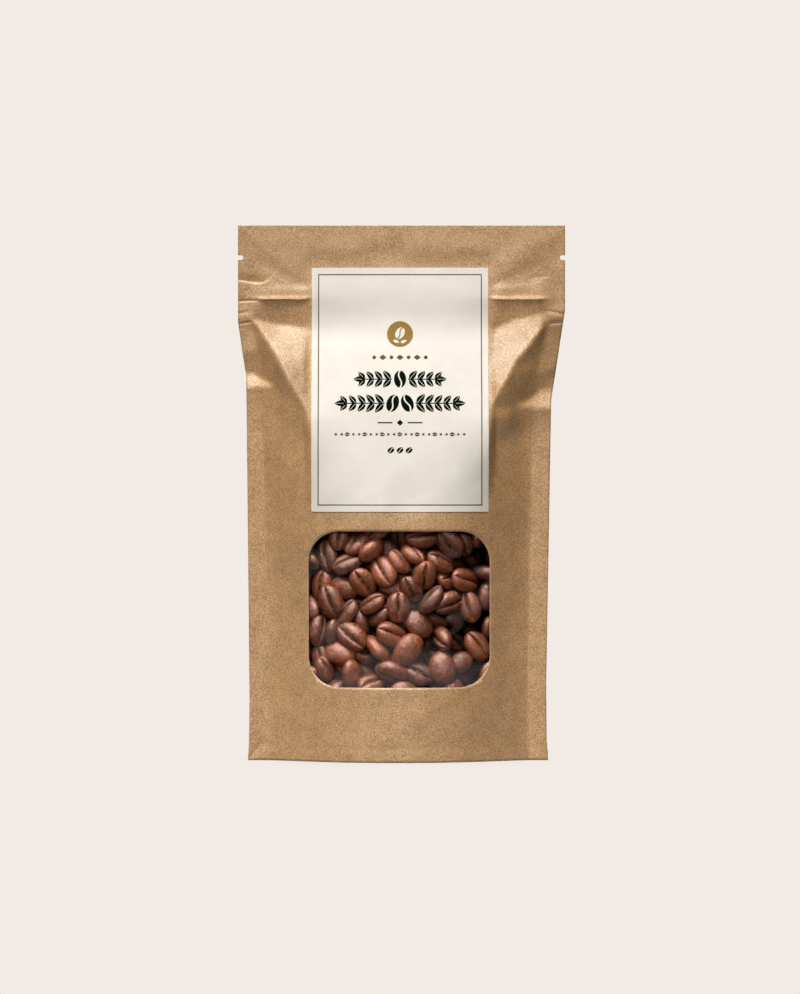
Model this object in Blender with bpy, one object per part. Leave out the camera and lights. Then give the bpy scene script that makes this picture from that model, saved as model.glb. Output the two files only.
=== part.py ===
"""Stand-up coffee pouch of kraft paper, with a clear window, coffee beans behind it and a paper label.

Metres, +Z up, the front faces -Y, and the origin lies under the middle of the pouch.
Four pieces: pouch, window_film, coffee_beans and label.
"""

import math
import random

import bmesh
import bpy
import numpy as np
from mathutils import Matrix

# Pouch
HEIGHT = 0.2125
TOP_HALF_WIDTH = 0.065
SIDE_SEAL = 0.006          # flat seal down each side
SEAL_HALF = 0.0003         # half the thickness of two papers sealed together
BELLY_DEPTH = 0.0225       # how far the full belly stands in front of, and behind, the side seals
BOXY_ABOVE = 0.130         # the belly's plan is boxy above this height, and softer towards the base

# Zip and shoulders
ZIP_Z = 0.1838             # crisp edge of the press-to-close zip
VALLEY_Z = 0.1707          # bottom of the hollow under the zip, beside the label
VALLEY_RISE = 0.0038       # how much higher that hollow ends at the sides
SHOULDER_SLOPE = 0.50      # depth gained for each unit of fall below the hollow
ZIP_PROFILE = [            # height above the base, and depth of one panel there, both in mm
    (174.5, 0.5), (179.0, 1.3), (182.8, 2.6), (183.8, 3.0), (184.8, 2.5),
    (186.2, 1.9), (187.4, 2.1), (190.0, 1.3), (195.0, 0.6), (199.0, 0.3),
]

# Window, film and heap of beans
WINDOW_CENTRE = (-0.0009, 0.0603)
WINDOW_SIZE = (0.0718, 0.0615)
WINDOW_CORNER = 0.0123
POCKET_DEPTH = 0.015
POCKET_CLEARANCE = 0.0006  # film and heap stay this far inside the window's outline
FILM_SETBACK = 0.0004
FILM_THICKNESS = 0.0002
HEAP_SETBACK = 0.0009
BEAN_LENGTH = 0.0125
BEAN_WIDTH = 0.0095
BEAN_RELIEF = 0.0034

# Label
LABEL_CENTRE = (-0.0006, 0.1472)
LABEL_SIZE = (0.0700, 0.0969)
LABEL_GAP = 0.0004
LABEL_THICKNESS = 0.00025

# Tear notches, one in each side seal
NOTCH_Z = 0.1998
NOTCH_DEPTH = 0.0021
NOTCH_RADIUS = 0.0009

# Gusset under the base: a flat rim, a raised moat, and a middle that sags back to the ground
RIM_WIDTH = 0.0012
MOAT_SLOPE_WIDTH = 0.0025
MOAT_FLOOR_WIDTH = 0.0020
MOAT_HEIGHT = 0.0028
GUSSET_MIN_HALF_DEPTH = 0.0125

# Grid of the panels: cells across each seal, each flank and the window, and the rows' stations
CELLS_ACROSS = (1, 7, 20, 7, 1)
CELLS_UP_WINDOW = 14
ROW_STATIONS = [           # height in mm, and number of rows up to it from the one before
    (0.0, 0), (29.55, 5), (91.05, CELLS_UP_WINDOW), (134.0, 7), (168.0, 12), (174.5, 3), (182.8, 3),
    (183.8, 1), (187.4, 2), (197.0, 3), (HEIGHT * 1000, 3),
]

MM = 0.001


# ---------------------------------------------------------------- shape of the paper

def stations(z, table):
    """Value at height z, read from (height, value) pairs in mm."""
    heights, values = zip(*table)
    return np.interp(z, np.array(heights) * MM, np.array(values) * MM)


def side_edges(z):
    """Left and right edge of the pouch at height z: drawn in where the beans fill it."""
    left = stations(z, [(0, -61.0), (8, -60.6), (25, -60.4), (152, -61.7), (174, -65.0)])
    right = stations(z, [(0, 58.3), (8, 57.7), (30, 57.5), (143, 59.5), (179, 65.0)])
    return left, right


def fold(x, z, path, heights, reach, power=1.0):
    """Height of a fold along a path of (x, z) points in mm, with its height at each point.

    reach is how far the fold spreads to the left and to the right of the path's direction.
    """
    nearest = np.full(np.shape(x), np.inf)
    height = np.zeros(np.shape(x))
    spread = np.ones(np.shape(x))
    for start, end, low, high in zip(path, path[1:], heights, heights[1:]):
        x0, z0 = start[0] * MM, start[1] * MM
        dx, dz = end[0] * MM - x0, end[1] * MM - z0
        along = np.clip(((x - x0) * dx + (z - z0) * dz) / (dx * dx + dz * dz), 0, 1)
        off_x, off_z = x - (x0 + along * dx), z - (z0 + along * dz)
        distance = np.hypot(off_x, off_z)
        closer = distance < nearest
        nearest = np.where(closer, distance, nearest)
        height = np.where(closer, (low + (high - low) * along) * MM, height)
        on_left = dx * off_z - dz * off_x > 0
        spread = np.where(closer, np.where(on_left, reach[0], reach[1]) * MM, spread)
    return height * np.clip(1 - nearest / spread, 0, 1) ** power


def smooth_min(a, b, blend):
    """The smaller of two depths, rounded over where they cross."""
    share = np.clip(0.5 + 0.5 * (b - a) / blend, 0, 1)
    return b + (a - b) * share - blend * share * (1 - share)


def belly(x, z):
    """Depth of the filled part: a flattened lens in plan, between the side seals."""
    left, right = side_edges(z)
    half = (right - left) / 2 - SIDE_SEAL
    across = np.clip(np.abs(x - (left + right) / 2) / half, 0, 1)
    boxy = np.clip((z - (BOXY_ABOVE - 0.030)) / 0.030, 0, 1)
    lens = (1 - across ** (2.8 + 0.7 * boxy)) ** (1.2 - 0.2 * boxy)
    fullness = np.interp(z, [0, 0.06, 0.11], [0.96, 1.0, 0.98])
    return BELLY_DEPTH * fullness * lens


def shoulder(x, z):
    """Depth of the slope that falls outwards from the hollow under the zip to the belly."""
    rise = VALLEY_RISE * np.clip((np.abs(x) - 0.035) / 0.022, 0, 1)
    return SHOULDER_SLOPE * (VALLEY_Z + rise - z)


def seam_shift(x, z):
    """How far the side seals buckle backwards: one dent at the foot of each shoulder."""
    left = fold(x, z, [(-66, 154.9), (-58.2, 153.6), (-53.9, 150.7)], (3.2, 2.2, 0.0), (5.0, 7.0))
    right = fold(x, z, [(66, 146.7), (55.5, 146.7), (52.3, 144.5), (48.7, 142.7)],
                 (3.0, 2.8, 1.6, 0.0), (7.0, 4.5))
    return left + right


def shoulder_hollows(x, z):
    """Hollows that run down outside the two shoulder ridges."""
    left = fold(x, z, [(-58.5, 169.0), (-55.5, 161.0), (-51.5, 151.9), (-45.1, 144.3), (-39.6, 138.0)],
                (0.6, 1.5, 2.0, 1.6, 0.0), (7.0, 7.0), 1.5)
    right = fold(x, z, [(58.5, 169.8), (53.5, 158.2), (47.1, 147.1), (42.3, 139.1), (39.2, 127.2),
                        (38.0, 113.3)],
                 (0.6, 2.2, 3.0, 2.6, 1.2, 0.0), (9.0, 9.0), 1.5)
    return left + right


def bridged(x, z, half_width, centre_x):
    """Depth of the paper that the label holds straight across the hollow under the zip."""
    cover = np.clip((half_width - np.abs(x - centre_x)) / 0.0015, 0, 1)
    return cover * stations(z, [(150, 0.3), (160, 5.4), (184, 2.9), (195, 0.7), (199, 0.3)])


def panel_depth(x, z, labelled):
    """Depth of one panel in front of the side seals' plane."""
    blend = np.interp(z, [0.140, 0.170], [0.0030, 0.0006])
    depth = smooth_min(belly(x, z), shoulder(x, z), blend) - shoulder_hollows(x, z)
    left, right = side_edges(z)
    from_edge = np.minimum(x - left, right - x)
    zip_share = np.clip((from_edge - 0.0035) / 0.004, 0, 1)
    depth = np.maximum(depth, SEAL_HALF + zip_share * (stations(z, ZIP_PROFILE) - SEAL_HALF)
                       * (z > VALLEY_Z))
    if labelled:
        depth = np.maximum(depth, bridged(x, z, LABEL_SIZE[0] / 2, LABEL_CENTRE[0]))
    return np.maximum(depth, SEAL_HALF)


def front_y(x, z):
    """Y of the pouch's front."""
    return seam_shift(x, z) - panel_depth(x, z, labelled=True)


def back_y(x, z):
    """Y of the pouch's back."""
    return seam_shift(x, z) + panel_depth(x, z, labelled=False)


def rounded(x, z, size, corner, reach):
    """Move a grid's points so that the rectangle of that size gets round corners.

    x and z are measured from the rectangle's centre. Points outside follow, up to reach away.
    """
    a = abs(x) - (size[0] / 2 - corner)
    b = abs(z) - (size[1] / 2 - corner)
    if a <= 0 or b <= 0:
        return x, z
    far = max(a, b)
    pull = (far / np.hypot(a, b) - 1) * min(1.0, corner / far)
    if far > corner:
        pull *= max(0.0, 1 - (far - corner) / reach)
    return x + pull * a * np.sign(x), z + pull * b * np.sign(z)


# ---------------------------------------------------------------- building blocks

def subdivided(marks, cells):
    """Evenly divided positions between each pair of marks, with that many cells in each."""
    places = [marks[0]]
    for low, high, count in zip(marks, marks[1:], cells):
        places += [low + (high - low) * step / count for step in range(1, count + 1)]
    return places


def add_grid(bm, cells_x, cells_z, place):
    """Add a grid whose corner (i, j) is at place(i, j); return its faces by their lower left corner."""
    made = bmesh.ops.create_grid(bm, x_segments=cells_x, y_segments=cells_z, size=0.5)
    faces = {}
    for face in {face for vert in made["verts"] for face in vert.link_faces}:
        centre = face.calc_center_median()
        faces[int((centre.x + 0.5) * cells_x), int((centre.y + 0.5) * cells_z)] = face
    for vert in made["verts"]:
        i = round((vert.co.x + 0.5) * cells_x)
        j = round((vert.co.y + 0.5) * cells_z)
        vert.co = place(i, j)
    return faces


def add_closed_pair(bm, cells_x, cells_z, front, back):
    """Add a front and a back grid and close the gap round their edges; return the front's faces."""
    front_faces = add_grid(bm, cells_x, cells_z, front)
    back_faces = add_grid(bm, cells_x, cells_z, back)
    bmesh.ops.reverse_faces(bm, faces=list(back_faces.values()))
    rims = [edge for edge in bm.edges if edge.is_boundary]
    bmesh.ops.bridge_loops(bm, edges=rims)
    bmesh.ops.recalc_face_normals(bm, faces=bm.faces)
    return front_faces


def finish(bm, name, colour, roughness, alpha=1.0):
    """Turn the bmesh into an object of that name with its own material."""
    mesh = bpy.data.meshes.new(name)
    bm.to_mesh(mesh)
    bm.free()
    piece = bpy.data.objects.new(name, mesh)
    bpy.context.scene.collection.objects.link(piece)
    material = bpy.data.materials.new(name)
    material.use_nodes = True
    shader = material.node_tree.nodes["Principled BSDF"]
    shader.inputs["Base Color"].default_value = (*colour, 1.0)
    shader.inputs["Roughness"].default_value = roughness
    shader.inputs["Metallic"].default_value = 0.0
    shader.inputs["Alpha"].default_value = alpha
    mesh.materials.append(material)
    return piece


# ---------------------------------------------------------------- pieces

def window_marks():
    """Left, right, bottom and top of the window."""
    (cx, cz), (width, height) = WINDOW_CENTRE, WINDOW_SIZE
    return cx - width / 2, cx + width / 2, cz - height / 2, cz + height / 2


def grid_point(column, z):
    """X and Z of a panel's grid point, with the grid drawn in to the window's round corners."""
    left, right = side_edges(z)
    low, high, _, _ = window_marks()
    marks = (left, left + SIDE_SEAL, low, high, right - SIDE_SEAL, right)
    x = subdivided(marks, CELLS_ACROSS)[column]
    cx, cz = WINDOW_CENTRE
    dx, dz = rounded(x - cx, z - cz, WINDOW_SIZE, WINDOW_CORNER, reach=0.012)
    return cx + dx, cz + dz


def cut_window_pocket(bm, front_faces):
    """Sink the cells of the front that lie inside the window."""
    first_column = sum(CELLS_ACROSS[:2])
    first_row = ROW_STATIONS[1][1]
    inside = [front_faces[first_column + i, first_row + j]
              for i in range(CELLS_ACROSS[2]) for j in range(CELLS_UP_WINDOW)]
    sunk = bmesh.ops.extrude_face_region(bm, geom=inside)
    verts = [item for item in sunk["geom"] if isinstance(item, bmesh.types.BMVert)]
    bmesh.ops.translate(bm, verts=verts, vec=(0, POCKET_DEPTH, 0))
    bmesh.ops.delete(bm, geom=[face for face in inside if face.is_valid], context="FACES_KEEP_BOUNDARY")


def shape_gusset(bm):
    """Inset the base into a flat rim, a raised moat and a middle that rests on the ground."""
    under = []
    for face in bm.faces:
        depths = [abs(vert.co.y) for vert in face.verts]
        if all(vert.co.z < 1e-6 for vert in face.verts) and min(depths) > GUSSET_MIN_HALF_DEPTH:
            under.append(face)
    for width, height in ((RIM_WIDTH, 0.0), (MOAT_SLOPE_WIDTH, MOAT_HEIGHT),
                          (MOAT_FLOOR_WIDTH, MOAT_HEIGHT), (MOAT_SLOPE_WIDTH, 0.0)):
        bmesh.ops.inset_region(bm, faces=under, thickness=width, use_even_offset=True)
        for vert in {vert for face in under for vert in face.verts}:
            vert.co.z = height


def make_notch_cutter(name, edge_x):
    """A round-ended slot across the side seal, used only to cut the tear notch."""
    bm = bmesh.new()
    bmesh.ops.create_cone(bm, cap_ends=True, segments=12, radius1=NOTCH_RADIUS, radius2=NOTCH_RADIUS,
                          depth=0.01, matrix=Matrix.Rotation(math.pi / 2, 4, "X"))
    for side in (-1, 1):
        ends = [vert for vert in bm.verts if vert.co.x * side > NOTCH_RADIUS * 0.1]
        bmesh.ops.translate(bm, verts=ends, vec=(side * (NOTCH_DEPTH - NOTCH_RADIUS), 0, 0))
    bmesh.ops.translate(bm, verts=bm.verts, vec=(edge_x, 0, NOTCH_Z))
    cutter = finish(bm, name, (0.8, 0.8, 0.8), 0.5)
    cutter.hide_render = True
    cutter.display_type = "WIRE"
    return cutter


def make_pouch():
    """The kraft paper pouch: two panels sealed at the sides and top, window pocket and gusset."""
    heights = [mark * MM for mark, _ in ROW_STATIONS]
    rows = subdivided(heights, [count for _, count in ROW_STATIONS[1:]])

    def front(i, j):
        x, z = grid_point(i, rows[j])
        return x, float(front_y(x, z)), z

    def back(i, j):
        x, z = grid_point(i, rows[j])
        return x, float(back_y(x, z)), z

    bm = bmesh.new()
    front_faces = add_closed_pair(bm, sum(CELLS_ACROSS), len(rows) - 1, front, back)
    cut_window_pocket(bm, front_faces)
    shape_gusset(bm)
    bmesh.ops.recalc_face_normals(bm, faces=bm.faces)
    pouch = finish(bm, "pouch", (0.42, 0.27, 0.15), 0.85)
    for side, edge_x in (("left", -TOP_HALF_WIDTH), ("right", TOP_HALF_WIDTH)):
        cut = pouch.modifiers.new(f"{side}_notch", "BOOLEAN")
        cut.object = make_notch_cutter(f"{side}_notch_cutter", edge_x)
        cut.operation = "DIFFERENCE"
        cut.solver = "EXACT"
    return pouch


def make_in_window(name, cells, front_set, back_set, colour, roughness, alpha=1.0):
    """A piece that fills the window's outline, between two depths behind the paper."""
    width, height = WINDOW_SIZE[0] - 2 * POCKET_CLEARANCE, WINDOW_SIZE[1] - 2 * POCKET_CLEARANCE
    cx, cz = WINDOW_CENTRE

    def place(i, j, set_back):
        x, z = rounded(width * (i / cells[0] - 0.5), height * (j / cells[1] - 0.5), (width, height),
                       WINDOW_CORNER - POCKET_CLEARANCE, reach=0.001)
        x, z = cx + x, cz + z
        return x, float(front_y(x, z)) + set_back(x, z), z

    bm = bmesh.new()
    add_closed_pair(bm, cells[0], cells[1], lambda i, j: place(i, j, front_set),
                    lambda i, j: place(i, j, back_set))
    return finish(bm, name, colour, roughness, alpha)


def bean_places():
    """Centres and directions of the beans that press forwards, on a jumbled lattice."""
    rng = random.Random(4)
    low, high, bottom, top = window_marks()
    pitch_x, pitch_z = BEAN_LENGTH * 0.92, BEAN_WIDTH * 1.02
    places = []
    for row in range(int((top - bottom) / pitch_z) + 2):
        for column in range(int((high - low) / pitch_x) + 2):
            x = low + (column - 0.5 * (row % 2)) * pitch_x + rng.uniform(-0.2, 0.2) * pitch_x
            z = bottom + row * pitch_z + rng.uniform(-0.2, 0.2) * pitch_z
            places.append((x, z, rng.uniform(0, np.pi), rng.uniform(0.7, 1.0)))
    return places


def make_coffee_beans():
    """The heap of beans behind the film: one solid with a bean's back pressed into it at each place."""
    beans = bean_places()

    def uneven(x, z):
        best = 0.0
        for bean_x, bean_z, turn, height in beans:
            dx, dz = x - bean_x, z - bean_z
            along = (dx * np.cos(turn) + dz * np.sin(turn)) / (BEAN_LENGTH / 2)
            across = (dz * np.cos(turn) - dx * np.sin(turn)) / (BEAN_WIDTH / 2)
            best = max(best, height * np.sqrt(max(0.0, 1 - along ** 2 - across ** 2)))
        return HEAP_SETBACK + BEAN_RELIEF * (1 - best)

    return make_in_window("coffee_beans", (20, 16), uneven, lambda x, z: POCKET_DEPTH - 0.0003,
                          (0.09, 0.030, 0.018), 0.45)


def make_window_film():
    """The clear film across the window, just behind the paper."""
    return make_in_window("window_film", (12, 10), lambda x, z: FILM_SETBACK,
                          lambda x, z: FILM_SETBACK + FILM_THICKNESS, (0.9, 0.9, 0.9), 0.1, alpha=0.15)


def make_label():
    """The cream paper label, which follows the pouch from above the zip down to the belly."""
    columns, rows = 12, 24
    cx, cz = LABEL_CENTRE

    def place(i, j, stand_off):
        x = cx + LABEL_SIZE[0] * (i / columns - 0.5)
        z = cz + LABEL_SIZE[1] * (j / rows - 0.5)
        inner = min(abs(x - cx), LABEL_SIZE[0] / 2 - 0.0015)
        return x, float(front_y(cx + np.sign(x - cx) * inner, z)) - stand_off, z

    bm = bmesh.new()
    add_closed_pair(bm, columns, rows, lambda i, j: place(i, j, LABEL_GAP + LABEL_THICKNESS),
                    lambda i, j: place(i, j, LABEL_GAP))
    return finish(bm, "label", (0.90, 0.86, 0.77), 0.7)


def main():
    """Clear the scene and build the four pieces."""
    for item in list(bpy.data.objects):
        bpy.data.objects.remove(item, do_unlink=True)
    make_pouch()
    make_window_film()
    make_coffee_beans()
    make_label()


main()
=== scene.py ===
"""Looks of a filled stand-up coffee pouch: folded kraft paper, clear window, roasted beans and a printed label.

Metres, +Z up, the front faces -Y. Every size that the solids have comes from the frame.
"""
import math
import random

import bmesh
import bpy
import numpy as np
from mathutils import Matrix, Vector
from mathutils.geometry import delaunay_2d_cdt


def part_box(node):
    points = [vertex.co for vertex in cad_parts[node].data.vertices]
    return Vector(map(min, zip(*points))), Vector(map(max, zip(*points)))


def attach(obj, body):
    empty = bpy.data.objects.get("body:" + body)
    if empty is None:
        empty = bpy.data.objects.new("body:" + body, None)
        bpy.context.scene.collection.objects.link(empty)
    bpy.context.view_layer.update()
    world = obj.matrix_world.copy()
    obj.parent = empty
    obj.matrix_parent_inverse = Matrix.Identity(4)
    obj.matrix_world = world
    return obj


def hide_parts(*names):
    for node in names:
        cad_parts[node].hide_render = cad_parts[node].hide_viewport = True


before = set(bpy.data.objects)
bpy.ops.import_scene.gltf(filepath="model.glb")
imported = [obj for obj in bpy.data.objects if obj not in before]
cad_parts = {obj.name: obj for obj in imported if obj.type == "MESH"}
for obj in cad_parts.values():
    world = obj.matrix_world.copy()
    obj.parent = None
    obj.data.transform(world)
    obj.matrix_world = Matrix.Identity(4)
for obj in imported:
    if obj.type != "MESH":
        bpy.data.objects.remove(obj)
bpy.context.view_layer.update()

MM = 0.001

# ---------------------------------------------------------------- sizes read from the frame

POUCH_LOW, POUCH_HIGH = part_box("pouch")
FILM_LOW, FILM_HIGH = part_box("window_film")
LABEL_LOW, LABEL_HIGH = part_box("label")

HEIGHT = POUCH_HIGH.z
HALF_WIDTH = POUCH_HIGH.x
BELLY_DEPTH = POUCH_HIGH.y
POCKET_CLEARANCE = 0.0006
WINDOW_CENTRE = ((FILM_LOW.x + FILM_HIGH.x) / 2, (FILM_LOW.z + FILM_HIGH.z) / 2)
WINDOW_SIZE = (FILM_HIGH.x - FILM_LOW.x + 2 * POCKET_CLEARANCE, FILM_HIGH.z - FILM_LOW.z + 2 * POCKET_CLEARANCE)
WINDOW_CORNER = 0.0123
LABEL_CENTRE = ((LABEL_LOW.x + LABEL_HIGH.x) / 2, (LABEL_LOW.z + LABEL_HIGH.z) / 2)
LABEL_SIZE = (LABEL_HIGH.x - LABEL_LOW.x, LABEL_HIGH.z - LABEL_LOW.z)

# ---------------------------------------------------------------- paper, zip and seals

PAPER = 0.00025            # thickness of the kraft paper
SEAL_HALF = 0.0003         # half the thickness of two papers sealed together
SEAL_GAP = 0.00005
SIDE_SEAL = 0.006
BOXY_FROM = 0.060          # the belly's section grows boxier from here
BOXY_ABOVE = 0.130         # to here
# Height above the base and depth of the front's middle, in mm, down which the label lies
MIDDLE_DEPTH = [
    (-10, 22.7), (50, 22.7), (70, 22.65), (86, 22.5), (94, 22.2), (100, 21.8), (106, 21.1), (112, 20.2), (118, 19.2),
    (124, 18.0), (130, 16.8), (136, 15.5), (142, 14.0), (148, 12.3), (154, 10.4), (160, 8.2), (166, 5.7),
    (172, 3.7), (178, 3.0), (184, 2.8), (190, 1.9), (195, 1.0), (199, 0.5), (220, 0.4),
]
# Height, and how much less deep the label's sides are than its middle, as a share
LABEL_ROUND = [(100, 0.10), (136, 0.04), (142, 0.08), (154, 0.18), (164, 0.28), (172, 0.52),
               (178, 0.45), (184, 0.2), (199, 0.2)]
RELIEF_BELOW = 0.120       # the folded relief reaches down to here
RELIEF_BLEND = 0.016       # and runs out into the belly over this height
ZIP_Z = 0.1832
BEAD_HEIGHT = 0.0010
BEAD_SWELL = 0.3           # how unevenly the bead swells along its length, as a share of its height
BEAD_REACH = (0.0012, 0.0009)
LABEL_SKIRT = 0.0034       # the paper beside the label rises to it within this distance of its edge
HEAD_BLEND = 0.009         # and above the label within this distance
BRIDGE_FOOT = 0.100        # from here up the label holds the paper straight
BRIDGE_BLEND = 0.034       # fully so after this height

# Folded relief of one panel's upper half: x and height above the base, then depth, all in mm. A depth of
# None is that of the belly. Names in FOLD_LINES are joined by sharp folds.
RELIEF = {
    # flat header and zip
    "top_left": (-67, 213, 0.7), "top_right": (67, 213, 0.7),
    "head_left": (-67, 199, 0.3), "head_right": (67, 199, 0.3),
    "head_in_left": (-56, 197, 0.3), "head_in_right": (56, 197, 0.3),
    "lip_left_end": (-58.5, 189.0, 0.3), "lip_left": (-53.5, 188.6, 1.1), "lip_mid_left": (-36, 188.7, 1.2),
    "lip_mid_right": (34.5, 188.9, 1.3), "lip_right": (45, 189.8, 1.1), "lip_right_end": (57.0, 191.5, 0.3),
    "dip_left": (-53.5, 186.6, 1.6), "dip_mid_left": (-36, 187.0, 2.2), "dip_mid_right": (34.5, 187.2, 2.2),
    "dip_right": (48, 187.8, 1.7),
    "bead_top_left": (-55.5, 185.0, 1.5), "bead_top_mid_left": (-36, 185.2, 2.3),
    "bead_top_mid_right": (34.5, 185.2, 2.3), "bead_top_right": (55.0, 185.0, 1.4),
    "bead_left_end": (-62.0, 183.0, 0.2), "bead_left": (-55.5, 183.0, 2.0), "bead_mid_left": (-36, 183.1, 3.0),
    "bead_mid_right": (34.5, 183.1, 2.8), "bead_right": (55.0, 183.0, 2.0), "bead_right_end": (62.0, 183.0, 0.2),
    # hem: the valley between the zip and the shoulders
    "fin_left_high": (-67, 178.5, 0.3), "fin_right_high": (67, 178.0, 0.3),
    "tip_left": (-60.0, 175.3, 0.9), "hem_left_1": (-56.5, 174.9, 0.7), "hem_left_2": (-53.5, 174.0, 0.6),
    "hem_left_3": (-46.9, 173.0, 0.5), "hem_left_4": (-36, 171.6, 1.2),
    "hem_right_4": (34.5, 170.7, 1.2), "hem_right_3": (39.4, 173.0, 0.5), "hem_right_2": (44.2, 176.2, 0.6),
    "hem_right_1": (47.3, 175.6, 0.6), "hem_right_0": (54.7, 177.4, 0.9), "tip_right": (58.0, 175.3, 0.9),
    # left shoulder
    "ridge_left_1": (-55.9, 170.1, 3.2), "ridge_left_2": (-52.9, 165.8, 5.2), "ridge_left_3": (-50.3, 161.4, 7.4),
    "ridge_left_4": (-47.9, 156.4, 9.7), "ridge_left_5": (-45.0, 150.9, 11.8), "ridge_left_6": (-39.2, 142.0, 13.6),
    "ridge_left_7": (-35.5, 136.5, 15.3),
    "slope_left_1": (-36, 160.0, 6.6), "slope_left_2": (-36, 150.0, 10.2),
    "fin_left_1": (-67, 173.8, 0.0), "fin_left_2": (-67, 161.0, -1.2), "crease_left_0": (-67, 155.2, -2.6),
    "crease_left_1": (-58.7, 153.7, -2.3), "crease_left_2": (-57.2, 152.9, -1.6), "nose_left": (-54.1, 150.8, 0.7),
    "cheek_left_1": (-57.8, 148.7, 1.2), "cheek_left_0": (-67, 147.3, 0.4),
    "gully_left_1": (-58.6, 171.8, -0.1), "gully_left_2": (-56.8, 163.5, 0.6), "gully_left_3": (-54.0, 156.0, 1.7),
    "gully_left_4": (-50.2, 148.6, 4.2), "gully_left_5": (-46.0, 143.2, 8.4), "gully_left_6": (-40.5, 137.0, 11.8),
    # right shoulder
    "ridge_right_1": (55.9, 170.5, 3.2), "ridge_right_2": (51.2, 164.9, 5.6), "ridge_right_3": (45.1, 157.8, 9.0),
    "ridge_right_4": (42.9, 153.4, 10.9), "ridge_right_5": (40.2, 149.1, 12.4), "ridge_right_6": (37.6, 144.7, 13.1),
    "ridge_right_7": (34.5, 140.0, 13.9),
    "slope_right_1": (34.5, 160.0, 6.2), "slope_right_2": (34.5, 150.0, 10.2),
    "fin_right_1": (67, 172.5, -1.4), "fin_right_2": (67, 158.0, -4.4), "crease_right_0": (67, 147.6, -5.2),
    "crease_right_1": (55.4, 148.2, -2.3), "crease_right_2": (54.3, 146.4, -1.6), "crease_right_3": (50.3, 143.8, 0.6),
    "nose_right": (48.6, 142.5, 2.0), "cheek_right_1": (52.5, 140.1, 2.0), "cheek_right_0": (67, 138.6, 0.4),
    "gully_right_1": (57.0, 170.0, -0.2), "gully_right_2": (55.6, 162.0, -0.3), "gully_right_3": (53.8, 154.0, 0.4),
    "gully_right_4": (50.0, 147.0, 2.4), "gully_right_5": (45.5, 140.5, 6.0), "gully_right_6": (40.5, 134.0, 10.6),
    "gully_right_7": (36.5, 127.0, None),
    # foot of the relief
    "foot_left": (-67, 120, 0.3), "foot_right": (67, 120, 0.3),
    "flank_left_1": (-55.8, 140, 0.5), "flank_left_2": (-51, 138, None), "flank_left_3": (-45, 133, None),
    "flank_right_1": (53.6, 134, 0.5), "flank_right_2": (49, 131, None),
}
for place in range(-56, 57, 4):
    RELIEF[f"foot_{place}"] = (place, 120, None)
    RELIEF[f"flank_{place}"] = (place, 127, None)
FOLD_LINES = [
    ("lip_left_end", "lip_left", "lip_mid_left", "lip_mid_right", "lip_right", "lip_right_end"),
    ("dip_left", "dip_mid_left", "dip_mid_right", "dip_right"),
    ("bead_top_left", "bead_top_mid_left", "bead_top_mid_right", "bead_top_right"),
    ("bead_left_end", "bead_left", "bead_mid_left", "bead_mid_right", "bead_right", "bead_right_end"),
    ("fin_left_high", "tip_left", "hem_left_1", "hem_left_2", "hem_left_3", "hem_left_4", "hem_right_4",
     "hem_right_3", "hem_right_2", "hem_right_1", "hem_right_0", "tip_right", "fin_right_high"),
    ("tip_left", "ridge_left_1", "ridge_left_2", "ridge_left_3", "ridge_left_4", "ridge_left_5",
     "ridge_left_6", "ridge_left_7"),
    ("tip_right", "ridge_right_1", "ridge_right_2", "ridge_right_3", "ridge_right_4", "ridge_right_5",
     "ridge_right_6", "ridge_right_7"),
    ("tip_left", "gully_left_1", "gully_left_2", "gully_left_3", "nose_left", "gully_left_4", "gully_left_5",
     "gully_left_6"),
    ("tip_right", "gully_right_1", "gully_right_2", "gully_right_3", "gully_right_4", "nose_right",
     "gully_right_5", "gully_right_6", "gully_right_7"),
    ("crease_left_0", "crease_left_1", "crease_left_2", "nose_left", "cheek_left_1", "cheek_left_0"),
    ("crease_right_0", "crease_right_1", "crease_right_2", "crease_right_3", "nose_right", "cheek_right_1",
     "cheek_right_0"),
]
CREASE_DEPTH = 1.6         # how deep the small creases are, as a multiple of the depths given with them
NOTCH_Z = 0.1998
NOTCH_DEPTH = 0.0021
NOTCH_RADIUS = 0.0009
LABEL_THICKNESS = 0.00018
LABEL_MARGIN_CELL = 0.00005
LABEL_STAND_OFF = 0.00008
PRINT_STAND_OFF = 0.00004
FILM_THICKNESS = 0.00012
FILM_BULGE = 0.0009        # how far the middle of the film stands out
FILM_CREST_Z = 0.0535      # height of the cushion's crest in the window's middle
FILM_CREST_RISE = 0.0060   # and how much higher it is at the right of the window


# ---------------------------------------------------------------- shape of the paper

def stations(z, table):
    """Value at height z, read from (height, value) pairs in mm."""
    heights, values = zip(*table)
    return np.interp(z, np.array(heights) * MM, np.array(values) * MM)


def middle_depth(z):
    """Depth of the front's middle at height z: the table's corners rounded over."""
    return sum(stations(z + step * 0.0015, MIDDLE_DEPTH) for step in range(-3, 4)) / 7


def side_edges(z):
    """Left and right edge of the pouch at height z, without the tear notches."""
    left = stations(z, [(0, -61.0), (8, -60.6), (25, -60.4), (152, -61.7), (174, -65.0)])
    right = stations(z, [(0, 58.3), (8, 57.7), (30, 57.5), (143, 59.5), (179, 65.0)])
    return left, right


def notch(z):
    """How far the tear notch reaches in at height z: a slot with a round end."""
    off = np.abs(z - NOTCH_Z)
    reach = NOTCH_DEPTH - NOTCH_RADIUS + np.sqrt(np.clip(NOTCH_RADIUS ** 2 - off ** 2, 0, None))
    return np.where(off <= NOTCH_RADIUS * 1.001, reach, 0.0)


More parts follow.
